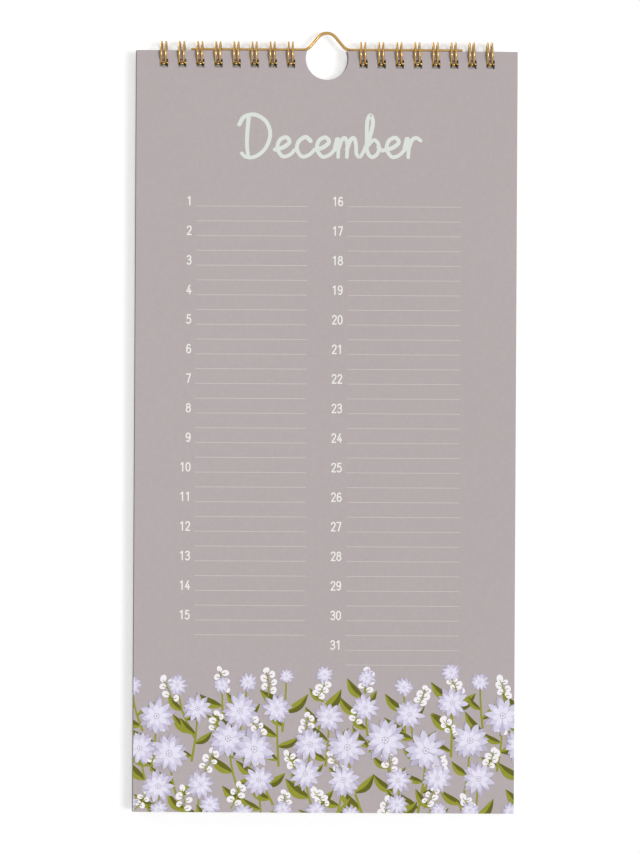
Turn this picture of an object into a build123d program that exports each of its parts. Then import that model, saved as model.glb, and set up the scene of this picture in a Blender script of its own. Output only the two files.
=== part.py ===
from build123d import *

import os
from math import asin, atan2, cos, hypot, radians, sin, sqrt, tan

# A tall month-to-a-page wall calendar bound along its top edge with two twin-loop wire combs.
# December hangs in front of the backing board.  The cover and the eleven earlier months have
# been turned over the top and hang behind it in that order, November against the wall.  A bent
# wire hanger lies inside the loops.
# Millimetres, +Z up, the page faces -Y and the wall is on +Y.  The origin is the point where
# the nail bears: the inside of the hanger's crown.

# ---------------------------------------------------------------- driving dimensions
page_width = 177.8
page_height = 355.6
leaf_thickness = 0.25
cover_thickness = 0.3
board_thickness = 1.2
turned_leaves = 10  # January to October

hole_pitch = 25.4 / 3
hole_size = 4.0
hole_margin = 4.05  # from a sheet's top edge to the top of its holes
side_margin = 12.0  # the least left beside the outermost holes' centres
skipped_holes = 3  # pitches left unpunched between the two combs, for the notch

wire_diameter = 1.0
twin_spacing = 2.0  # between the two wires of a loop
link_bend_radius = 1.0
comb_stub = 0.9  # straight end left where a comb was cut off
hole_drop = 3.05  # December's holes hang from the wires this far below the loops' axis

notch_radius = 10.0
notch_centre_drop = 3.5  # below a sheet's top edge

hanger_diameter = 1.5
hanger_inset = 1.5  # pitches from the outermost loops to the hanger's ends
flank_angle = 50.0
crown_radius = 5.25
foot_radius = 4.8
foot_inset = 0.25  # the flanks aim this far inside the notch's mouth

# ---------------------------------------------------------------- clearances
loop_clearance = 0.1  # above the wire, at the top of December's holes
link_clearance = 0.15  # between the links and the sheets in front of and behind them
tip_clearance = 0.12  # between a finger's tip and the bends beside it
layer_gap = 0.05  # between sheets that lie together
pass_clearance = 0.1  # between November and December as it is turned right over
foot_lift = 1.2  # a turning sheet passes the hanger's feet this far above its arms
seat_clearance = 0.1  # between the hanger and the edges that it lies on

# How far each sheet has slid to the left in its holes.
december_shift = -0.2
board_shift = 0.15
cover_shift = 0.25
page_shift = 0.35
november_shift = 0.05

# ---------------------------------------------------------------- what follows from them
wire_radius = wire_diameter / 2
hanger_radius = hanger_diameter / 2
pages_thickness = turned_leaves * leaf_thickness

# Heights above the loops' axis.
sheet_top = hole_margin + loop_clearance - hole_drop
arm_height = sheet_top + seat_clearance + hanger_radius

# How far December's front face stands from the loops' axis.  The whole stack has to lie between
# December and November, December has to pass over November's top corner, and November over the
# hanger's feet; the loops are as large as that needs.
link_room = wire_diameter + 2 * link_clearance
room = link_room + board_thickness + cover_thickness + pages_thickness + leaf_thickness
room += 3 * layer_gap
stack_reach = (room**2 + sheet_top**2 - pass_clearance**2) / (2 * (room - pass_clearance))
hanger_reach = hypot(arm_height + foot_lift + leaf_thickness, sheet_top) + pass_clearance
december_reach = leaf_thickness + max(stack_reach, hanger_reach)
loop_radius = hypot(december_reach, hole_drop) + wire_radius  # centreline of a closed loop

# Layers, as distances behind the loops' axis, which is negative in front of it.
december_back = leaf_thickness - december_reach
link_depth = -december_back - link_clearance - wire_radius
board_front = december_back + link_room
board_back = board_front + board_thickness
cover_back = board_back + layer_gap + cover_thickness
november_back = sqrt((december_back + pass_clearance) ** 2 - sheet_top**2)
pages_back = (cover_back + november_back - leaf_thickness + pages_thickness) / 2

# The hanger's bend, and from it the height of the loops' axis below the origin.
notch_mouth = sqrt(notch_radius**2 - notch_centre_drop**2)
foot_corner = notch_mouth - foot_inset
apex_rise = foot_corner * tan(radians(flank_angle))
crown_rise = apex_rise - crown_radius * (1 / cos(radians(flank_angle)) - 1)
arm_z = hanger_radius - crown_rise
axis_z = arm_z - arm_height
sheet_z = axis_z + sheet_top

# Where each finger leaves the links, and where its tip ends, as angles from the loop's lowest
# point towards the front.
twin_half = twin_spacing / 2
bend_reach = twin_half + link_bend_radius
tip_setback = sqrt((bend_reach + wire_diameter + tip_clearance) ** 2 - bend_reach**2)
root_angle = asin(link_depth / hypot(loop_radius, link_bend_radius)) + atan2(link_bend_radius, loop_radius)
tip_angle = root_angle - tip_setback / loop_radius

first_hole = (skipped_holes + 1) / 2 * hole_pitch
loops_per_comb = int((page_width / 2 - side_margin - first_hole) / hole_pitch) + 1
right_loops = [first_hole + i * hole_pitch for i in range(loops_per_comb)]
left_loops = [-x for x in reversed(right_loops)]
hanger_half = right_loops[-1] - hanger_inset * hole_pitch


def on_loop(angle, x):
    """A point of the loops' centreline, at an angle from their lowest point."""
    return Vector(x, -loop_radius * sin(angle), axis_z - loop_radius * cos(angle))


def along_loop(angle):
    """The direction of the centreline there."""
    return Vector(0, -cos(angle), sin(angle))


def sheet_face(shift):
    """The punched outline of a sheet that has slid this far to the left."""
    with Locations((-shift, sheet_z - page_height / 2)):
        Rectangle(page_width, page_height)
    hole_z = sheet_z - hole_margin - hole_size / 2
    with Locations([(x - shift, hole_z) for x in left_loops + right_loops]):
        Rectangle(hole_size, hole_size, mode=Mode.SUBTRACT)
    with Locations((-shift, sheet_z - notch_centre_drop)):
        Circle(notch_radius, mode=Mode.SUBTRACT)


def link_bend(x, side):
    """The quarter bend between a link and the wire at x; side is the way the link goes."""
    turn = radians(45)
    centre = on_loop(root_angle, x + side * link_bend_radius)
    link_end = centre - along_loop(root_angle) * link_bend_radius
    middle = centre - Vector(side * cos(turn), 0, 0) * link_bend_radius
    middle -= along_loop(root_angle) * (link_bend_radius * sin(turn))
    return link_end, middle, on_loop(root_angle, x)


def comb_line(loops):
    """The centreline of one comb: links along X, and a finger up, over and back at each loop."""
    over = radians(180) + (root_angle + tip_angle) / 2
    start = link_bend(loops[0] - twin_half, -1)[0] - Vector(comb_stub, 0, 0)
    for x in loops:
        link_end, middle, root = link_bend(x - twin_half, -1)
        Line(start, link_end)
        ThreePointArc(link_end, middle, root)
        tip_start = on_loop(tip_angle, x - twin_half)
        tip_end = on_loop(tip_angle, x + twin_half)
        ThreePointArc(root, on_loop(over, x - twin_half), tip_start)
        tip_middle = on_loop(tip_angle, x) + along_loop(tip_angle) * twin_half
        ThreePointArc(tip_start, tip_middle, tip_end)
        link_end, middle, root = link_bend(x + twin_half, 1)
        ThreePointArc(tip_end, on_loop(over, x + twin_half), root)
        ThreePointArc(root, middle, link_end)
        start = link_end
    Line(start, start + Vector(comb_stub, 0, 0))


# ---------------------------------------------------------------- the sheets
# A plane on XZ looks towards -Y, so each sheet grows forwards from its back face.
with BuildPart() as december_sheet:
    with BuildSketch(Plane.XZ.offset(-december_back)):
        sheet_face(december_shift)
    extrude(amount=leaf_thickness)
december_sheet.part.label = "december_sheet"

with BuildPart() as backing_board:
    with BuildSketch(Plane.XZ.offset(-board_back)):
        sheet_face(board_shift)
    extrude(amount=board_thickness)
backing_board.part.label = "backing_board"

with BuildPart() as cover_sheet:
    with BuildSketch(Plane.XZ.offset(-cover_back)):
        sheet_face(cover_shift)
    extrude(amount=cover_thickness)
cover_sheet.part.label = "cover_sheet"

with BuildPart() as turned_pages:
    with BuildSketch(Plane.XZ.offset(-pages_back)):
        sheet_face(page_shift)
    extrude(amount=pages_thickness)
turned_pages.part.label = "turned_pages"

with BuildPart() as november_sheet:
    with BuildSketch(Plane.XZ.offset(-november_back)):
        sheet_face(november_shift)
    extrude(amount=leaf_thickness)
november_sheet.part.label = "november_sheet"

# ---------------------------------------------------------------- the two wire combs
combs = {}
for name, loops in (("wire_left", left_loops), ("wire_right", right_loops)):
    with BuildPart() as comb:
        with BuildLine() as centreline:
            comb_line(loops)
        with BuildSketch(Plane(origin=centreline.line @ 0, z_dir=centreline.line % 0)):
            Circle(wire_radius)
        sweep()
    comb.part.label = name
    combs[name] = comb

# ---------------------------------------------------------------- the hanger
with BuildPart() as hanger:
    with BuildLine() as bent_wire:
        FilletPolyline(
            (-hanger_half, 0, arm_z),
            (-foot_corner, 0, arm_z),
            (0, 0, arm_z + apex_rise),
            (foot_corner, 0, arm_z),
            (hanger_half, 0, arm_z),
            radius=[foot_radius, crown_radius, foot_radius],
        )
    with BuildSketch(Plane(origin=bent_wire.line @ 0, z_dir=bent_wire.line % 0)):
        Circle(hanger_radius)
    sweep()
hanger.part.label = "hanger"

# ---------------------------------------------------------------- one file for each piece
os.makedirs("parts", exist_ok=True)
sheets = (december_sheet, backing_board, cover_sheet, turned_pages, november_sheet)
for piece in (*sheets, *combs.values(), hanger):
    export_step(piece.part, f"parts/{piece.part.label}.step")
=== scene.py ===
import random
from math import atan2, cos, pi, radians, sin, sqrt

import bmesh
import bpy
from mathutils import Matrix, Vector


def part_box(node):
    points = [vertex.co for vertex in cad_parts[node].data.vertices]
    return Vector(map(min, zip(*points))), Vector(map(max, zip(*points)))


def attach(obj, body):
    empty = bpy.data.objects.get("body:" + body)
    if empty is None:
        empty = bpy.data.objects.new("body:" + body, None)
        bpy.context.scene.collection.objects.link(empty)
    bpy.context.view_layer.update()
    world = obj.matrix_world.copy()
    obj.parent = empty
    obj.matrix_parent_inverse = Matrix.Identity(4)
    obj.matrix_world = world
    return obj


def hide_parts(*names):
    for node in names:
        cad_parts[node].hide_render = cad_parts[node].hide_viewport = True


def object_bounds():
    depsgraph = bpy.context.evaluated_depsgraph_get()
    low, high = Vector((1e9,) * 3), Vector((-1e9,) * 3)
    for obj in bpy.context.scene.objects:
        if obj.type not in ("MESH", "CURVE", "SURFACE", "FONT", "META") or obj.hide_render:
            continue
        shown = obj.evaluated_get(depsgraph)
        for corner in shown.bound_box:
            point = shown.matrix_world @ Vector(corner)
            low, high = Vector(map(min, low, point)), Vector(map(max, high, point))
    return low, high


# A tall month-to-a-page wall calendar, hung by its wire hanger close in front of a white wall.
# The combs, the hanger, December, November, the cover and the board are the CAD's own nodes.
# The ten turned pages are drawn here leaf by leaf, and the print is flat shapes of ink that lie
# just in front of the paper.

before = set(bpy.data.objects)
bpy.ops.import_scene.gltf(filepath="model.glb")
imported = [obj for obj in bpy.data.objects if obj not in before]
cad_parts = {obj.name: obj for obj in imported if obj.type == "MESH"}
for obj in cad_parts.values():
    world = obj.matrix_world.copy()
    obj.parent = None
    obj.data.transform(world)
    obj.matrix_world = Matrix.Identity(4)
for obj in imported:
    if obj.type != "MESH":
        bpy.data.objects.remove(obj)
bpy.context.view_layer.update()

MM = 0.001
rng = random.Random(12)

# ---------------------------------------------------------------- sizes, in millimetres
LEAVES = 10  # January to October
LEAF_GAP = 0.09
LEAF_SLIDE = 0.12  # sideways, the most either way
LEAF_SAG = 0.08  # down, the most
HOLE_SIZE = 4.0
HOLE_MARGIN = 4.05
HOLE_PITCH = 25.4 / 3
FIRST_HOLE = 2 * HOLE_PITCH
HOLES_A_SIDE = 8
NOTCH_RADIUS = 10.0
NOTCH_CENTRE_DROP = 3.5
NOTCH_STEPS = 36  # sides of the notch's arc

INK_LIFT = 0.01  # the lowest ink in front of the paper
LAYER_LIFT = 0.0008  # each further layer of ink
SHAPE_LIFT = 0.001  # each further shape within a layer, so that crossing strokes lie apart

HEADING_LEFT, HEADING_RIGHT = 48.5, 133.0
HEADING_BASE = 49.5
HEADING_STROKE = 2.0
HEADING_TAPER = 0.85  # a stroke's end width as a share of its start
COLUMNS = ((25.9, 28.2, 80.0), (96.5, 99.0, 151.8))  # numerals' right edge, rules' two ends
DAYS_IN_FIRST_COLUMN = 15
FIRST_RULE = 72.8
RULE_PITCH = 6.9
RULE_WIDTH = 0.3
NUMERAL_HEIGHT = 3.9
NUMERAL_STROKE = 0.62
NUMERAL_RAISE = 0.6  # above the day's first rule

# Straight steps for each stretch of a curve between two of its points.
HEADING_STEPS = 7
NUMERAL_STEPS = 4
LEAF_STEPS = 8
STALK_STEPS = 6
CAP_STEPS = 8  # for a stroke's rounded end

# ---------------------------------------------------------------- colours, as sRGB of 255
PAPER_WHITE = (244, 243, 240)
MAUVE_GREY = (182, 172, 173)
HEADING_INK = (222, 227, 221)
NUMERAL_INK = (240, 237, 232)
RULE_INK = (206, 199, 196)
LEAF_LIGHT = (148, 149, 50)
LEAF_DARK = (98, 98, 24)
LAVENDER_LIGHT = (232, 228, 245)
LAVENDER_MID = (214, 209, 229)
LAVENDER_SHADE = (191, 184, 206)
BERRY_WHITE = (245, 241, 246)
BOARD_GREY = (172, 165, 152)
GOLD = (212, 176, 112)
GOLD_DARK = (160, 122, 66)

FINE_GRAIN = 500.0  # grains a metre
# Each ink of the flower border: its colour, how far that varies, and its grains a metre.
BORDER_INKS = {
    "stem": (LEAF_LIGHT, 0.2, 300.0),
    "leaf_dark": (LEAF_DARK, 0.3, 300.0),
    "leaf_light": (LEAF_LIGHT, 0.25, 300.0),
    "lavender_shade": (LAVENDER_SHADE, 0.12, 350.0),
    "lavender_mid": (LAVENDER_MID, 0.12, 350.0),
    "lavender_light": (LAVENDER_LIGHT, 0.1, 350.0),
    "white": (BERRY_WHITE, 0.04, FINE_GRAIN),
}


def linear(colour):
    """A colour of 0 to 255 as the linear values that a shader takes."""
    shares = [c / 255 for c in colour]
    return [c / 12.92 if c <= 0.04045 else ((c + 0.055) / 1.055) ** 2.4 for c in shares] + [1.0]


def toned(colour, factor):
    """The same, this many times as light."""
    return [min(1.0, c * factor) for c in linear(colour)[:3]] + [1.0]


# ---------------------------------------------------------------- materials
GRAIN_SHARE = 0.6  # of a mottled colour's variation; wide clouds make the rest
PLAIN_PAPER = (0.03, 700.0)  # how far its colour varies, and its grains a metre
PRINTED_PAPER = (0.09, 650.0)
PAPER_CLOUDS = 9.0  # clouds a metre
INK_CLOUDS = 60.0
INK_ROUGHNESS = 0.78
PAPER_ROUGHNESS = 0.82
BOARD_ROUGHNESS = 0.9
MATT_SPECULAR = 0.25
GOLD_SMOOTHEST = 0.16  # roughness where the wire's marks are faintest
GOLD_SPREAD = 0.16  # added to it where they are strongest


class Nodes:
    """The node tree of a new material or world, with short ways to add to it."""

    def __init__(self, owner, output="ShaderNodeOutputMaterial"):
        self.owner = owner
        owner.use_nodes = True
        self.tree = owner.node_tree
        self.tree.nodes.clear()
        self.output = self.add(output)

    def add(self, kind, settings=None, **inputs):
        node = self.tree.nodes.new(kind)
        for key, value in (settings or {}).items():
            setattr(node, key, value)
        for key, value in inputs.items():
            self.set(node.inputs[key.replace("_", " ")], value)
        return node

    def set(self, socket, value):
        if isinstance(value, bpy.types.NodeSocket):
            self.tree.links.new(value, socket)
        else:
            socket.default_value = value

    def fill(self, node, *values):
        """Sets a node's inputs in their order."""
        for socket, value in zip(node.inputs, values):
            self.set(socket, value)
        return node.outputs[0]

    def noise(self, scale, detail, stretch=(1, 1, 1)):
        """Noise in the object's own space, of this many grains a metre."""
        place = self.add("ShaderNodeTexCoord").outputs["Object"]
        mapping = self.add("ShaderNodeMapping", Vector=place, Scale=stretch)
        texture = self.add("ShaderNodeTexNoise", Scale=scale, Detail=detail)
        self.set(texture.inputs["Vector"], mapping.outputs["Vector"])
        return texture.outputs["Fac"]

    def maths(self, operation, *values):
        return self.fill(self.add("ShaderNodeMath", {"operation": operation}), *values)

    def between(self, factor, first, second):
        """The first colour at 0 and the second at 1."""
        node = self.add("ShaderNodeMix", {"data_type": "RGBA"})
        self.set(node.inputs[0], factor)
        self.set(node.inputs[6], first)
        self.set(node.inputs[7], second)
        return node.outputs[2]

    def mixed(self, factor, first, second):
        """The first shader at 0 and the second at 1."""
        return self.fill(self.add("ShaderNodeMixShader"), factor, first, second)

    def bump(self, height, strength, distance):
        node = self.add("ShaderNodeBump", Strength=strength, Distance=distance, Height=height)
        return node.outputs["Normal"]

    def finish(self, shader):
        self.tree.links.new(shader, self.output.inputs["Surface"])
        return self.owner


def mottled(nodes, colour, depth, grain, clouds):
    """A colour that varies this much either way, in fine grain and in wide clouds."""
    wide = nodes.maths("MULTIPLY", nodes.noise(clouds, 2.0), 1 - GRAIN_SHARE)
    level = nodes.maths("MULTIPLY_ADD", nodes.noise(grain, 2.0), GRAIN_SHARE, wide)
    return nodes.between(level, toned(colour, 1 - depth), toned(colour, 1 + depth))


def ink_material(name, colour, depth, grain=FINE_GRAIN):
    """Matt ink, a little uneven where the brush or the press laid it."""
    nodes = Nodes(bpy.data.materials.new(name))
    shader = nodes.add("ShaderNodeBsdfPrincipled", Roughness=INK_ROUGHNESS)
    nodes.set(shader.inputs["Base Color"], mottled(nodes, colour, depth, grain, INK_CLOUDS))
    shader.inputs["Specular IOR Level"].default_value = MATT_SPECULAR
    return nodes.finish(shader.outputs[0])


def paper_material(name, printed):
    """Uncoated white paper, printed all over on the face that looks to -Y."""
    nodes = Nodes(bpy.data.materials.new(name))
    plain = mottled(nodes, PAPER_WHITE, *PLAIN_PAPER, PAPER_CLOUDS)
    normal = nodes.add("ShaderNodeTexCoord").outputs["Normal"]
    facing = nodes.add("ShaderNodeSeparateXYZ", Vector=normal).outputs["Y"]
    is_front = nodes.maths("LESS_THAN", facing, -0.5)
    colour = nodes.between(is_front, plain, mottled(nodes, printed, *PRINTED_PAPER, PAPER_CLOUDS))
    shader = nodes.add("ShaderNodeBsdfPrincipled", Roughness=PAPER_ROUGHNESS)
    shader.inputs["Specular IOR Level"].default_value = MATT_SPECULAR
    nodes.set(shader.inputs["Base Color"], colour)
    nodes.set(shader.inputs["Normal"], nodes.bump(nodes.noise(1400.0, 4.0), 0.25, 0.04 * MM))
    return nodes.finish(shader.outputs[0])


def board_material():
    """Grey pressed board, flecked with fibres that lie up and down."""
    nodes = Nodes(bpy.data.materials.new("grey_board"))
    fibres = nodes.noise(900.0, 6.0, (1, 1, 0.25))
    colour = nodes.between(fibres, toned(BOARD_GREY, 0.86), toned(BOARD_GREY, 1.12))
    shader = nodes.add("ShaderNodeBsdfPrincipled", Roughness=BOARD_ROUGHNESS)
    nodes.set(shader.inputs["Base Color"], colour)
    nodes.set(shader.inputs["Normal"], nodes.bump(fibres, 0.5, 0.08 * MM))
    return nodes.finish(shader.outputs[0])


def gold_material():
    """Gold-coated drawn wire: darker in patches, with faint drawing marks."""
    nodes = Nodes(bpy.data.materials.new("gold_wire"))
    patches = nodes.noise(260.0, 3.0)
    marks = nodes.noise(2400.0, 2.0, (0.15, 1, 1))
    shader = nodes.add("ShaderNodeBsdfPrincipled", Metallic=1.0)
    nodes.set(shader.inputs["Base Color"], nodes.between(patches, linear(GOLD_DARK), linear(GOLD)))
    roughness = nodes.maths("MULTIPLY_ADD", marks, GOLD_SPREAD, GOLD_SMOOTHEST)
    nodes.set(shader.inputs["Roughness"], roughness)
    nodes.set(shader.inputs["Normal"], nodes.bump(marks, 0.12, 0.02 * MM))
    return nodes.finish(shader.outputs[0])


# ---------------------------------------------------------------- flat shapes
def smooth(points, steps):
    """A curve through all the points."""
    points = [Vector(p) for p in points]
    if len(points) < 3:
        return points
    closed = (points[0] - points[-1]).length < 1e-9
    before = points[-2] if closed else 2 * points[0] - points[1]
    after = points[1] if closed else 2 * points[-1] - points[-2]
    knots = [before, *points, after]
    curve = []
    for a, b, c, d in zip(knots, knots[1:], knots[2:], knots[3:]):
        for i in range(steps):
            t = i / steps
            curve.append(b + (c - a) * (t / 2) + (a - 2.5 * b + 2 * c - d / 2) * t**2
                         + (1.5 * (b - c) + (d - a) / 2) * t**3)
    return curve + [points[-1]]


def sides(line):
    """The unit vector to the left of the line at each of its points."""
    found = []
    for i in range(len(line)):
        along = line[min(i + 1, len(line) - 1)] - line[max(i - 1, 0)]
        found.append(Vector((-along.y, along.x)).normalized())
    return found


def circle(centre, radius, count, stretch=1.0, turn=0.0):
    """A round outline, or an oval one stretched along its turned axis."""
    ring = []
    for i in range(count):
        a = 2 * pi * i / count
        x, y = radius * stretch * cos(a), radius * sin(a)
        ring.append(Vector(centre) + Vector((x * cos(turn) - y * sin(turn), x * sin(turn) + y * cos(turn))))
    return ring


def stroke(line, start_width, end_width=None):
    """A pen stroke along a line: a quad for each step, and a half disc at each end."""
    end_width = start_width if end_width is None else end_width
    left = sides(line)
    half = [(start_width + (end_width - start_width) * i / (len(line) - 1)) / 2 for i in range(len(line))]
    shapes = []
    for i in range(len(line) - 1):
        shapes.append([line[i] + left[i] * half[i], line[i + 1] + left[i + 1] * half[i + 1],
                       line[i + 1] - left[i + 1] * half[i + 1], line[i] - left[i] * half[i]])
    return [cap(line[0], left[0], half[0])] + shapes + [cap(line[-1], -left[-1], half[-1])]


def cap(end, side, radius):
    """The half disc that rounds off a stroke's end, from one side of it to the other."""
    behind = Vector((-side.y, side.x))
    angles = [pi * i / CAP_STEPS for i in range(CAP_STEPS + 1)]
    return [end + (side * cos(a) + behind * sin(a)) * radius for a in angles]


def clipped(shape, width, height):
    """The part of an outline that lies on the page."""
    for axis, limit, side in ((0, 0.0, 1), (0, width, -1), (1, -height, 1), (1, 0.0, -1)):
        kept = []
        for p, q in zip(shape, shape[1:] + shape[:1]):
            inside_p, inside_q = (p[axis] - limit) * side >= 0, (q[axis] - limit) * side >= 0
            if inside_p:
                kept.append(p)
            if inside_p != inside_q:
                kept.append(p + (q - p) * ((limit - p[axis]) / (q[axis] - p[axis])))
        shape = kept
        if len(shape) < 3:
            return []
    return shape


def print_piece(name, layers, node, body, material):
    """Lays shapes just in front of a sheet's -Y face.  Each layer is (how many layers up, shapes),
    and the shapes are in millimetres, rightwards and upwards from the sheet's top left corner."""
    low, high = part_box(node)
    mesh = bmesh.new()
    for level, shapes in layers:
        for i, shape in enumerate(shapes):
            y = low.y - (INK_LIFT + level * LAYER_LIFT + i * SHAPE_LIFT) * MM
            shape = clipped(shape, (high.x - low.x) / MM, (high.z - low.z) / MM)
            if not shape:
                continue
            area = sum(p.x * q.y - q.x * p.y for p, q in zip(shape, shape[1:] + shape[:1]))
            ordered = shape if area > 0 else shape[::-1]
            mesh.faces.new([mesh.verts.new((low.x + p.x * MM, y, high.z + p.y * MM)) for p in ordered])
    bmesh.ops.triangulate(mesh, faces=mesh.faces[:])
    data = bpy.data.meshes.new(name)
    mesh.to_mesh(data)
    mesh.free()
    piece = bpy.data.objects.new(name, data)
    bpy.context.scene.collection.objects.link(piece)
    data.materials.append(material)
    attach(piece, body)


# ---------------------------------------------------------------- lettering
# Each letter is (its width, its strokes), on a base line at 0 with small letters 1 high.
SCRIPT = {
    "D": (1.75, [[(0.42, 1.95), (0.36, 1.3), (0.34, 0.6), (0.4, 0.02)],
                 [(-0.05, 1.62), (0.2, 2.0), (0.75, 2.1), (1.3, 1.75), (1.5, 1.1), (1.25, 0.4),
                  (0.75, 0.0), (0.3, -0.02), (0.08, 0.16)]]),
    "N": (1.65, [[(-0.05, 0.1), (0.12, 0.0), (0.25, 0.5), (0.32, 1.3), (0.38, 1.98)],
                 [(0.38, 1.98), (0.7, 1.2), (0.98, 0.5), (1.18, 0.02)],
                 [(1.18, 0.02), (1.22, 0.8), (1.28, 1.6), (1.42, 2.05), (1.6, 2.0)]]),
    "c": (0.98, [[(0.78, 0.8), (0.52, 1.0), (0.18, 0.76), (0.1, 0.38), (0.34, 0.02), (0.7, 0.1),
                  (0.98, 0.36)]]),
    "e": (1.0, [[(0.0, 0.36), (0.42, 0.48), (0.72, 0.74), (0.55, 0.98), (0.22, 0.82), (0.12, 0.4),
                 (0.38, 0.02), (0.74, 0.1), (1.0, 0.36)]]),
    "m": (1.5, [[(0.0, 0.36), (0.14, 0.92), (0.2, 0.6), (0.18, 0.0)],
                [(0.19, 0.4), (0.36, 0.86), (0.54, 0.94), (0.64, 0.6), (0.62, 0.0)],
                [(0.63, 0.4), (0.8, 0.86), (0.98, 0.94), (1.08, 0.6), (1.1, 0.16), (1.28, 0.02),
                 (1.5, 0.36)]]),
    "b": (1.0, [[(0.0, 0.36), (0.28, 1.05), (0.42, 1.75), (0.3, 2.1), (0.14, 1.8), (0.12, 1.0),
                 (0.14, 0.3), (0.38, 0.0), (0.68, 0.22), (0.7, 0.66), (0.46, 0.86), (0.2, 0.6)],
                [(0.7, 0.52), (0.84, 0.34), (1.0, 0.36)]]),
    "o": (1.0, [[(0.52, 1.0), (0.18, 0.78), (0.12, 0.34), (0.4, 0.0), (0.74, 0.26), (0.74, 0.74),
                 (0.52, 1.0)], [(0.62, 0.95), (0.8, 0.78), (1.0, 0.84)]]),
    "v": (0.9, [[(0.0, 0.84), (0.12, 0.86), (0.28, 0.3), (0.4, 0.0), (0.56, 0.4), (0.68, 0.92),
                 (0.82, 0.7), (0.9, 0.36)]]),
    "r": (0.85, [[(0.0, 0.36), (0.14, 0.95), (0.22, 0.6), (0.2, 0.0)],
                 [(0.2, 0.42), (0.38, 0.86), (0.6, 0.98), (0.82, 0.84)]]),
}
# Each numeral is its strokes, 1 high and about half as wide; True marks a straight stroke.
NUMERALS = {
    "0": [(False, [(0.25, 1.0), (0.06, 0.84), (0.02, 0.5), (0.06, 0.16), (0.25, 0.0), (0.44, 0.16),
                   (0.48, 0.5), (0.44, 0.84), (0.25, 1.0)])],
    "1": [(True, [(0.1, 0.82), (0.3, 1.0), (0.3, 0.0)])],
    "2": [(False, [(0.03, 0.8), (0.12, 0.96), (0.28, 1.0), (0.44, 0.9), (0.46, 0.7), (0.34, 0.45),
                   (0.03, 0.0)]), (True, [(0.03, 0.0), (0.48, 0.0)])],
    "3": [(False, [(0.04, 0.86), (0.16, 0.99), (0.34, 0.98), (0.45, 0.8), (0.38, 0.6), (0.2, 0.54)]),
          (False, [(0.2, 0.54), (0.4, 0.48), (0.48, 0.26), (0.36, 0.03), (0.16, 0.0), (0.03, 0.13)])],
    "4": [(True, [(0.34, 1.0), (0.02, 0.28), (0.5, 0.28)]), (True, [(0.36, 0.56), (0.36, 0.0)])],
    "5": [(True, [(0.44, 1.0), (0.1, 1.0), (0.07, 0.56)]),
          (False, [(0.07, 0.56), (0.26, 0.64), (0.44, 0.52), (0.48, 0.28), (0.36, 0.04), (0.16, 0.0),
                   (0.02, 0.12)])],
    "6": [(False, [(0.42, 0.9), (0.27, 1.0), (0.1, 0.86), (0.03, 0.5), (0.06, 0.14), (0.25, 0.0),
                   (0.44, 0.12), (0.47, 0.4), (0.3, 0.58), (0.1, 0.48), (0.04, 0.34)])],
    "7": [(True, [(0.02, 1.0), (0.47, 1.0), (0.18, 0.0)])],
    "8": [(False, [(0.25, 1.0), (0.07, 0.88), (0.08, 0.66), (0.25, 0.55), (0.42, 0.66), (0.43, 0.88),
                   (0.25, 1.0)]),
          (False, [(0.25, 0.55), (0.05, 0.42), (0.03, 0.14), (0.25, 0.0), (0.47, 0.14), (0.45, 0.42),
                   (0.25, 0.55)])],
    "9": [(False, [(0.08, 0.1), (0.23, 0.0), (0.4, 0.14), (0.47, 0.5), (0.44, 0.86), (0.25, 1.0),
                   (0.06, 0.88), (0.03, 0.6), (0.2, 0.42), (0.4, 0.52), (0.46, 0.66)])],
}
NUMERAL_WIDTH = 0.5  # shares of a numeral's height
NUMERAL_ADVANCE = 0.68


def heading(word):
    """The month's name, written across the head of the page in one round hand."""
    scale = (HEADING_RIGHT - HEADING_LEFT) / sum(SCRIPT[letter][0] for letter in word)
    layers = []
    x = HEADING_LEFT
    for letter in word:
        width, strokes = SCRIPT[letter]
        shapes = []
        for points in strokes:
            line = smooth([(x + px * scale, py * scale - HEADING_BASE) for px, py in points], HEADING_STEPS)
            shapes += stroke(line, HEADING_STROKE, HEADING_STROKE * HEADING_TAPER)
        layers.append((1 + len(layers), shapes))
        x += width * scale
    return layers


def number(value, right, base):
    """A day's number, its last numeral ending at the right edge."""
    shapes = []
    for place, digit in enumerate(reversed(str(value))):
        left = right - (NUMERAL_WIDTH + place * NUMERAL_ADVANCE) * NUMERAL_HEIGHT
        for straight, points in NUMERALS[digit]:
            line = [Vector((left + px * NUMERAL_HEIGHT, base + py * NUMERAL_HEIGHT)) for px, py in points]
            if straight:
                for a, b in zip(line, line[1:]):
                    shapes += stroke([a, b], NUMERAL_STROKE)
            else:
                shapes += stroke(smooth(line, NUMERAL_STEPS), NUMERAL_STROKE)
    return shapes


def month_page(node, body, word, days):
    """The heading, the days' numbers and two ruled lines for each day."""
    numbers, rules = [], []
    for day in range(1, days + 1):
        second = day > DAYS_IN_FIRST_COLUMN
        number_right, rule_left, rule_right = COLUMNS[second]
        row = day - 1 - (DAYS_IN_FIRST_COLUMN if second else 0)
        base = -FIRST_RULE - 2 * row * RULE_PITCH
        numbers.append((1, number(day, number_right, base + NUMERAL_RAISE)))
        for z in (base, base - RULE_PITCH):
            rules.append([Vector((rule_left, z)), Vector((rule_right, z)),
                          Vector((rule_right, z + RULE_WIDTH)), Vector((rule_left, z + RULE_WIDTH))])
    print_piece(body + "_rules", [(0, rules)], node, body, rule_ink)
    print_piece(body + "_numbers", numbers, node, body, numeral_ink)
    print_piece(body + "_heading", heading(word), node, body, heading_ink)


# ---------------------------------------------------------------- the flower border
BAND_HEIGHT = 67.0

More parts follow.
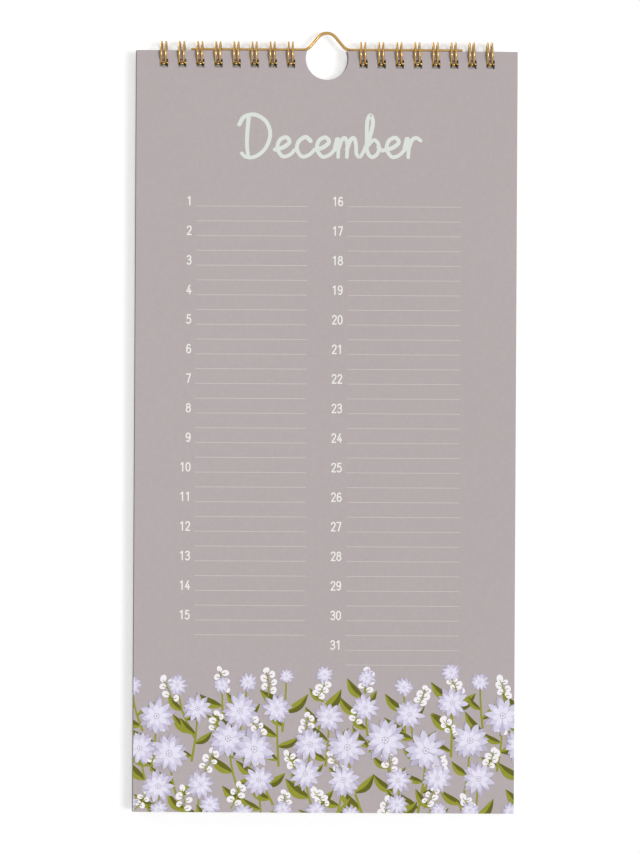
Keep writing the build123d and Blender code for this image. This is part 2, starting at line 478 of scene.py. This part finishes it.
# An aster's rings of petals: their reach as a share of its radius, how many, and their ink.
ASTER_RINGS = ((1.0, 11, "lavender_shade"), (0.9, 10, "lavender_mid"), (0.6, 8, "lavender_light"))
RING_TURN = 0.37  # radians from one ring to the next
PETAL_JITTER = 0.15  # of the angle between two petals, either way
PETAL_LENGTHS = (0.86, 1.08)  # shares of the ring's reach
PETAL_BREADTH = 3.4  # a petal's width, times its ring's count, over its length
PETAL_STEPS = 14
PETAL_CROWDING = 1.6  # the higher, the closer a petal's points lie towards its tip
PETAL_SWELL = 1.35  # the higher, the nearer the tip a petal is widest
EYE = 0.16  # share of the aster's radius
EYE_SIDES = 14
EYE_SPOTS = 5
SPOT_PITCH = 1.26  # radians
SPOT_REACH = 0.09  # share of the aster's radius
SPOT_RADIUS = 0.045  # likewise
SPOT_SIDES = 8

# Each row of flowers: its height as a share of the band, how many, their radius, and the first
# one's place as a share of their pitch.
FLOWER_ROWS = (
    (0.93, 10, 4.6, 0.15),
    (0.72, 9, 8.2, 0.55),
    (0.46, 9, 9.4, 0.05),
    (0.22, 8, 7.4, 0.45),
    (0.03, 10, 5.4, 0.85),
)
ROW_WANDER = 0.055  # of the band's height, either way
COLUMN_WANDER = 0.2  # of the flowers' pitch, either way
FLOWER_SIZES = (0.8, 1.15)  # shares of the row's radius

STEM_LENGTHS = (13, 24)  # beyond the flower's radius
STEM_LEAN = 0.35  # sideways over the length, either way
STEM_BEND = 0.3  # half way up, it leans this share of the whole
STEM_WIDTHS = (1.15, 0.7)
LEAVES_ON_A_STEM = ((0.1, 1), (0.3, -1), (0.52, 1))  # share of the way up, and the side
BLADE_LENGTHS = (9.0, 14.5)
BLADE_ANGLES = (36, 66)  # degrees from upright
BLADE_BREADTHS = (0.3, 0.38)  # shares of the length
BLADE_BEND = 0.1  # likewise
BLADE_WAIST = 0.85  # under 1, a blade is widest nearer its root

SPRAYS = 32
SPRAY_ROWS = (0.0, 0.3, 0.56, 0.78)  # the roots' heights, in turn, as shares of the band
SPRAY_RISE = 0.05  # of the band's height, either way
SPRAY_WANDER = 2.5  # sideways, either way
SPRAY_REACHES = (8, 12)
SPRAY_LEAN = 0.6  # radians, either way
SPRAY_BOW = 0.08  # sideways, as a share of the reach
SPRAY_WIDTHS = (0.5, 0.35)
BARE_SHARE = 0.2  # of the spray, below its first berry
STALK_OUT, STALK_UP = 0.2, 0.07  # shares of the reach
STALK_WIDTH = 0.35
BERRIES = 6
BERRY_SIZES = (1.1, 1.6)
BERRY_STRETCH = 1.25
BERRY_SIDES = 16

# Where each kind starts among the levels of ink, and how many levels are kept for one plant.
STEM_LEVELS = 9
SPRAYS_FROM, SPRAY_LEVELS = 100, 2 * BERRIES + 1
ASTERS_FROM, ASTER_LEVELS = 160, 36


def blade(root, tip, width, bend):
    """A leaf's two halves, either side of a bent midrib."""
    root, tip = Vector(root), Vector(tip)
    along = tip - root
    across = Vector((-along.y, along.x))
    rib = smooth([root, root + along * 0.5 + across * bend, tip], LEAF_STEPS)
    left = sides(rib)
    swell = [width / 2 * sin(pi * (i / (len(rib) - 1)) ** BLADE_WAIST) for i in range(len(rib))]
    back = list(zip(rib, left, swell))[-2:0:-1]
    return rib + [p + s * w for p, s, w in back], rib + [p - s * w for p, s, w in back]


def petal(centre, angle, length, width):
    """A petal that widens outwards to a rounded tip."""
    out, aside = Vector((cos(angle), sin(angle))), Vector((-sin(angle), cos(angle)))
    outline = []
    for i in range(PETAL_STEPS + 1):
        side = 1 if i <= PETAL_STEPS / 2 else -1
        reach = length * (1 - abs(1 - 2 * (i / PETAL_STEPS)) ** PETAL_CROWDING)
        half = width / 2 * sin(pi * min(1.0, reach / length) ** PETAL_SWELL)
        outline.append(Vector(centre) + out * reach + aside * (side * half))
    return outline


class Border:
    """The border's shapes by ink.  Shapes on a higher level lie in front of lower ones."""

    def __init__(self):
        self.inks = {ink: [] for ink in BORDER_INKS}
        self.level = 0

    def lay(self, ink, shapes):
        """Lays shapes of one ink on a level of their own."""
        self.inks[ink].append((self.level, shapes))
        self.level += 1

    def leaf(self, root, tip, width, bend):
        upper, lower = blade(root, tip, width, bend)
        self.lay("leaf_light", [upper])
        self.lay("leaf_dark", [lower])

    def leafy_stem(self, flower, radius):
        """A stem that leans up to a flower, with a leaf at each of its places."""
        lean = rng.uniform(-STEM_LEAN, STEM_LEAN)
        length = radius + rng.uniform(*STEM_LENGTHS)
        x, z = flower
        root = Vector((x + lean * length, z - length))
        line = smooth([root, (x + lean * length * STEM_BEND, z - length / 2), flower], STALK_STEPS)
        self.lay("stem", stroke(line, *STEM_WIDTHS))
        for share, side in LEAVES_ON_A_STEM:
            at = line[round(share * (len(line) - 1))]
            size = rng.uniform(*BLADE_LENGTHS)
            angle = radians(90 + side * rng.uniform(*BLADE_ANGLES))
            tip = at + Vector((cos(angle), sin(angle))) * size
            self.leaf(at, tip, size * rng.uniform(*BLADE_BREADTHS), side * BLADE_BEND)

    def aster(self, centre, radius):
        """A many-petalled flower: a shaded ring, a middle ring and a light ring round its eye."""
        start = rng.uniform(0, 2 * pi)
        for reach, count, ink in ASTER_RINGS:
            start += RING_TURN
            for i in range(count):
                angle = start + 2 * pi * (i + rng.uniform(-PETAL_JITTER, PETAL_JITTER)) / count
                length = radius * reach * rng.uniform(*PETAL_LENGTHS)
                self.lay(ink, [petal(centre, angle, length, PETAL_BREADTH * length / count)])
        self.lay("lavender_shade", [circle(centre, radius * EYE, EYE_SIDES)])
        for i in range(EYE_SPOTS):
            way = Vector((cos(i * SPOT_PITCH), sin(i * SPOT_PITCH)))
            spot = Vector(centre) + way * radius * SPOT_REACH
            self.lay("white", [circle(spot, radius * SPOT_RADIUS, SPOT_SIDES)])

    def berries(self, root, reach, lean):
        """A thin spray of white berries on short stalks."""
        root = Vector(root)
        tip = root + Vector((reach * sin(lean), reach * cos(lean)))
        line = smooth([root, (root + tip) / 2 + Vector((reach * SPRAY_BOW, 0)), tip], STALK_STEPS)
        self.lay("stem", stroke(line, *SPRAY_WIDTHS))
        for i in range(BERRIES):
            share = BARE_SHARE + (1 - BARE_SHARE) * i / (BERRIES - 1)
            at = line[round(share * (len(line) - 1))]
            side = (-1) ** i if i < BERRIES - 1 else 0
            berry = at + Vector((side * reach * STALK_OUT, reach * STALK_UP))
            if side:
                self.lay("stem", stroke([at, berry], STALK_WIDTH))
            size, turn = rng.uniform(*BERRY_SIZES), rng.uniform(0, pi)
            self.lay("white", [circle(berry, size, BERRY_SIDES, BERRY_STRETCH, turn)])


def flower_border(page_width, page_height):
    """Asters on leafy stems along the foot of the page, with sprays of berries between them."""
    border = Border()
    foot = -page_height
    plants = []
    for row, (share, count, radius, offset) in enumerate(FLOWER_ROWS):
        pitch = page_width / count
        for i in range(-1, count + 1):
            x = (i + offset) * pitch + rng.uniform(-COLUMN_WANDER, COLUMN_WANDER) * pitch
            z = foot + BAND_HEIGHT * (share + rng.uniform(-ROW_WANDER, ROW_WANDER))
            plants.append((row, i, (x, z), radius * rng.uniform(*FLOWER_SIZES)))
    for row, i, flower, radius in plants:
        border.level = (row * 2 + i % 2) * STEM_LEVELS
        border.leafy_stem(flower, radius)
    for i in range(SPRAYS):
        row = i % len(SPRAY_ROWS)
        border.level = SPRAYS_FROM + row * SPRAY_LEVELS
        x = (i + 0.5) * page_width / SPRAYS + rng.uniform(-SPRAY_WANDER, SPRAY_WANDER)
        z = foot + BAND_HEIGHT * (SPRAY_ROWS[row] + rng.uniform(-SPRAY_RISE, SPRAY_RISE))
        reach, lean = rng.uniform(*SPRAY_REACHES), rng.uniform(-SPRAY_LEAN, SPRAY_LEAN)
        border.berries((x, z), reach, lean)
    for row, i, flower, radius in plants:
        border.level = ASTERS_FROM + (2 * (row % 3) + i % 2) * ASTER_LEVELS
        border.aster(flower, radius)
    return border


# ---------------------------------------------------------------- the turned pages
def sheet_outline(width, height):
    """A sheet's outline from its top left corner, round the notch, and its punched holes."""
    middle = width / 2
    half_mouth = sqrt(NOTCH_RADIUS**2 - NOTCH_CENTRE_DROP**2)
    rise = atan2(NOTCH_CENTRE_DROP, half_mouth)  # of the mouth's corners, seen from the centre
    outline = [(0, 0)]
    for i in range(NOTCH_STEPS + 1):
        a = pi - rise + (pi + 2 * rise) * i / NOTCH_STEPS
        outline.append((middle + NOTCH_RADIUS * cos(a), -NOTCH_CENTRE_DROP + NOTCH_RADIUS * sin(a)))
    outline += [(width, 0), (width, -height), (0, -height)]
    holes = []
    for side in (-1, 1):
        for i in range(HOLES_A_SIDE):
            x = middle + side * (FIRST_HOLE + i * HOLE_PITCH)
            top, bottom = -HOLE_MARGIN, -HOLE_MARGIN - HOLE_SIZE
            left, right = x - HOLE_SIZE / 2, x + HOLE_SIZE / 2
            holes.append([(left, top), (right, top), (right, bottom), (left, bottom)])
    return [outline, *holes]


def turned_leaf(name, outlines, left, top, y, thickness, material):
    """One punched leaf, cut from a filled curve."""
    curve = bpy.data.curves.new(name, "CURVE")
    curve.dimensions = "2D"
    curve.fill_mode = "BOTH"
    curve.extrude = thickness / 2 * MM
    for outline in outlines:
        spline = curve.splines.new("POLY")
        spline.points.add(len(outline) - 1)
        for point, (x, z) in zip(spline.points, outline):
            point.co = ((left + x) * MM, (top + z) * MM, 0, 1)
        spline.use_cyclic_u = True
    holder = bpy.data.objects.new(name + "_curve", curve)
    bpy.context.scene.collection.objects.link(holder)
    data = bpy.data.meshes.new_from_object(holder.evaluated_get(bpy.context.evaluated_depsgraph_get()))
    bpy.data.objects.remove(holder)
    data.transform(Matrix.Translation((0, y * MM, 0)) @ Matrix.Rotation(radians(90), 4, "X"))
    data.name = name
    data.materials.clear()
    data.materials.append(material)
    leaf = bpy.data.objects.new(name, data)
    bpy.context.scene.collection.objects.link(leaf)
    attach(leaf, "binding")
    return leaf


def turned_pages():
    """January to October, fanned a little between the cover and November."""
    low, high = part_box("turned_pages")
    thickness = (high.y - low.y) / MM / LEAVES
    pitch = thickness + LEAF_GAP
    outlines = sheet_outline((high.x - low.x) / MM, (high.z - low.z) / MM)
    middle = (low.y + high.y) / 2 / MM
    for i in range(LEAVES):
        slide = rng.uniform(-LEAF_SLIDE, LEAF_SLIDE)
        sag = rng.uniform(0.0, LEAF_SAG)
        turned_leaf(f"leaf_{i + 1}", outlines, low.x / MM + slide, high.z / MM - sag,
                                  middle + (i - (LEAVES - 1) / 2) * pitch, thickness, leaf_paper)
    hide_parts("turned_pages")


# ---------------------------------------------------------------- the stage
KEY_DIRECTION = Vector((0.5, -0.9, -0.04))  # towards the lamp: right, in front, a little low
KEY_SHARE = 0.5  # of a plain level, on an upright surface
KEY_ANGLE = 18  # degrees across, for soft shadows
FILL_DIRECTION = Vector((-0.6, 0.6, 0.5))  # lights the back, too aslant to pass the holes
FILL_SHARE = 0.5
FILL_ANGLE = 20
BRIGHT_SIDE = Vector((0.55, -0.25, 0.8))  # of the world that lights the object
DIM_LEVEL, BRIGHT_LEVEL = 0.0, 0.82

WALL_GAP = 0.4 * MM  # behind the loops
WALL_MARGIN = 25 * MM  # past the calendar on each side; the white world does the rest
WALL_DIFFUSE = 0.5
WALL_GLOW = 0.55
# Painted shade on the wall: its glow fades in the holes, in the notch and close round the calendar's edges.
PAINTED_SHADE_REACH = 7 * MM  # the glow fades where the calendar is nearer to the wall than this
OPENNESS_GAIN, OPENNESS_OFFSET = 3.0, -1.05

CAMERA_DISTANCE = 1.4
CAMERA_LENS = 126.6
CAMERA_SENSOR = 36.0
CAMERA_ROLL = 0.3  # degrees
AIM_RIGHT, AIM_UP = -2.47 * MM, 2.5 * MM  # from the page's middle


def wall_material():
    """White to the camera, yet it takes the calendar's shadow; a painted shade dims its glow where the
    calendar lies close in front, so the holes and the notch look dark; seen from behind it isn't there.
    """
    nodes = Nodes(bpy.data.materials.new("white_wall"))
    diffuse = nodes.add("ShaderNodeBsdfDiffuse", Color=[WALL_DIFFUSE] * 3 + [1])
    # Painted shade: ambient occlusion turns the glow down where the calendar is near, darkening the wall
    # seen through the holes.
    near = nodes.add("ShaderNodeAmbientOcclusion", {"samples": 6}, Distance=PAINTED_SHADE_REACH)
    openness = nodes.maths("MULTIPLY_ADD", near.outputs["AO"], OPENNESS_GAIN, OPENNESS_OFFSET)
    openness.node.use_clamp = True
    glow = nodes.add("ShaderNodeEmission", Strength=nodes.maths("MULTIPLY", openness, WALL_GLOW))
    lit = nodes.fill(nodes.add("ShaderNodeAddShader"), diffuse.outputs[0], glow.outputs[0])
    behind = nodes.add("ShaderNodeNewGeometry").outputs["Backfacing"]
    clear = nodes.add("ShaderNodeBsdfTransparent").outputs[0]
    return nodes.finish(nodes.mixed(behind, lit, clear))


def make_wall():
    """The stretch of wall that takes the calendar's shadow."""
    low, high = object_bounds()
    y = high.y + WALL_GAP
    left, right = low.x - WALL_MARGIN, high.x + WALL_MARGIN
    bottom, top = low.z - WALL_MARGIN, high.z + WALL_MARGIN
    data = bpy.data.meshes.new("wall")
    corners = [(left, y, bottom), (right, y, bottom), (right, y, top), (left, y, top)]
    data.from_pydata(corners, [], [(0, 1, 2, 3)])
    data.materials.append(wall_material())
    wall = bpy.data.objects.new("wall", data)
    bpy.context.scene.collection.objects.link(wall)
    wall.visible_diffuse = False
    wall.visible_shadow = False


def make_lamp(name, direction, share, angle):
    """A far lamp that adds this share of a plain level to an upright surface facing it."""
    facing = direction.normalized()
    light = bpy.data.lights.new(name, "SUN")
    light.energy = share * pi / abs(facing.y)
    light.angle = radians(angle)
    lamp = bpy.data.objects.new(name, light)
    lamp.rotation_euler = facing.to_track_quat("Z", "Y").to_euler()
    bpy.context.scene.collection.objects.link(lamp)


def make_world():
    """Plain white to the camera, metal and glass; to the rest, brighter above and to the right."""
    nodes = Nodes(bpy.data.worlds.new("studio"), "ShaderNodeOutputWorld")
    dot = nodes.add("ShaderNodeVectorMath", {"operation": "DOT_PRODUCT"})
    nodes.fill(dot, nodes.add("ShaderNodeTexCoord").outputs["Generated"], BRIGHT_SIDE.normalized())
    level = nodes.add("ShaderNodeMapRange", Value=dot.outputs["Value"], From_Min=-1.0,
                      To_Min=DIM_LEVEL, To_Max=BRIGHT_LEVEL)
    studio = nodes.add("ShaderNodeBackground", Color=(1, 1, 1, 1), Strength=level.outputs["Result"])
    white = nodes.add("ShaderNodeBackground", Color=(1, 1, 1, 1))
    rays = nodes.add("ShaderNodeLightPath").outputs
    seen = nodes.maths("MAXIMUM", rays["Is Camera Ray"], rays["Is Glossy Ray"])
    seen = nodes.maths("MAXIMUM", seen, rays["Is Transmission Ray"])
    bpy.context.scene.world = nodes.finish(nodes.mixed(seen, studio.outputs[0], white.outputs[0]))


def make_camera():
    """Square on to the page, far off, with the page a little aslant in the picture."""
    low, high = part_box("december_sheet")
    camera = bpy.data.cameras.new("camera")
    camera.lens = CAMERA_LENS
    camera.sensor_width = CAMERA_SENSOR
    holder = bpy.data.objects.new("camera", camera)
    aim = Vector(((low.x + high.x) / 2 + AIM_RIGHT, low.y, (low.z + high.z) / 2 + AIM_UP))
    turn = Matrix.Rotation(radians(90), 4, "X") @ Matrix.Rotation(radians(CAMERA_ROLL), 4, "Z")
    holder.matrix_world = Matrix.Translation(aim + Vector((0, -CAMERA_DISTANCE, 0))) @ turn
    bpy.context.scene.collection.objects.link(holder)
    bpy.context.scene.camera = holder


# ---------------------------------------------------------------- making it
printed_paper = paper_material("printed_paper", MAUVE_GREY)
leaf_paper = paper_material("leaf_paper", MAUVE_GREY)
grey_board = board_material()
gold = gold_material()
heading_ink = ink_material("heading_ink", HEADING_INK, 0.05)
numeral_ink = ink_material("numeral_ink", NUMERAL_INK, 0.03)
rule_ink = ink_material("rule_ink", RULE_INK, 0.05)

for node, material in (
    ("december_sheet", printed_paper),
    ("november_sheet", printed_paper),
    ("cover_sheet", printed_paper),
    ("backing_board", grey_board),
    ("wire_left", gold),
    ("wire_right", gold),
    ("hanger", gold),
):
    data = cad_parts[node].data
    data.materials.clear()
    data.materials.append(material)

turned_pages()
month_page("december_sheet", "december", "December", 31)
month_page("november_sheet", "november", "November", 30)

page_low, page_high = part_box("december_sheet")
border = flower_border((page_high.x - page_low.x) / MM, (page_high.z - page_low.z) / MM)
for ink, layers in border.inks.items():
    ink_of_border = ink_material(ink + "_ink", *BORDER_INKS[ink])
    print_piece("border_" + ink, layers, "december_sheet", "december", ink_of_border)

make_wall()
make_lamp("key", KEY_DIRECTION, KEY_SHARE, KEY_ANGLE)
make_lamp("back_fill", FILL_DIRECTION, FILL_SHARE, FILL_ANGLE)
make_world()
make_camera()
bpy.context.scene.view_settings.view_transform = "Standard"
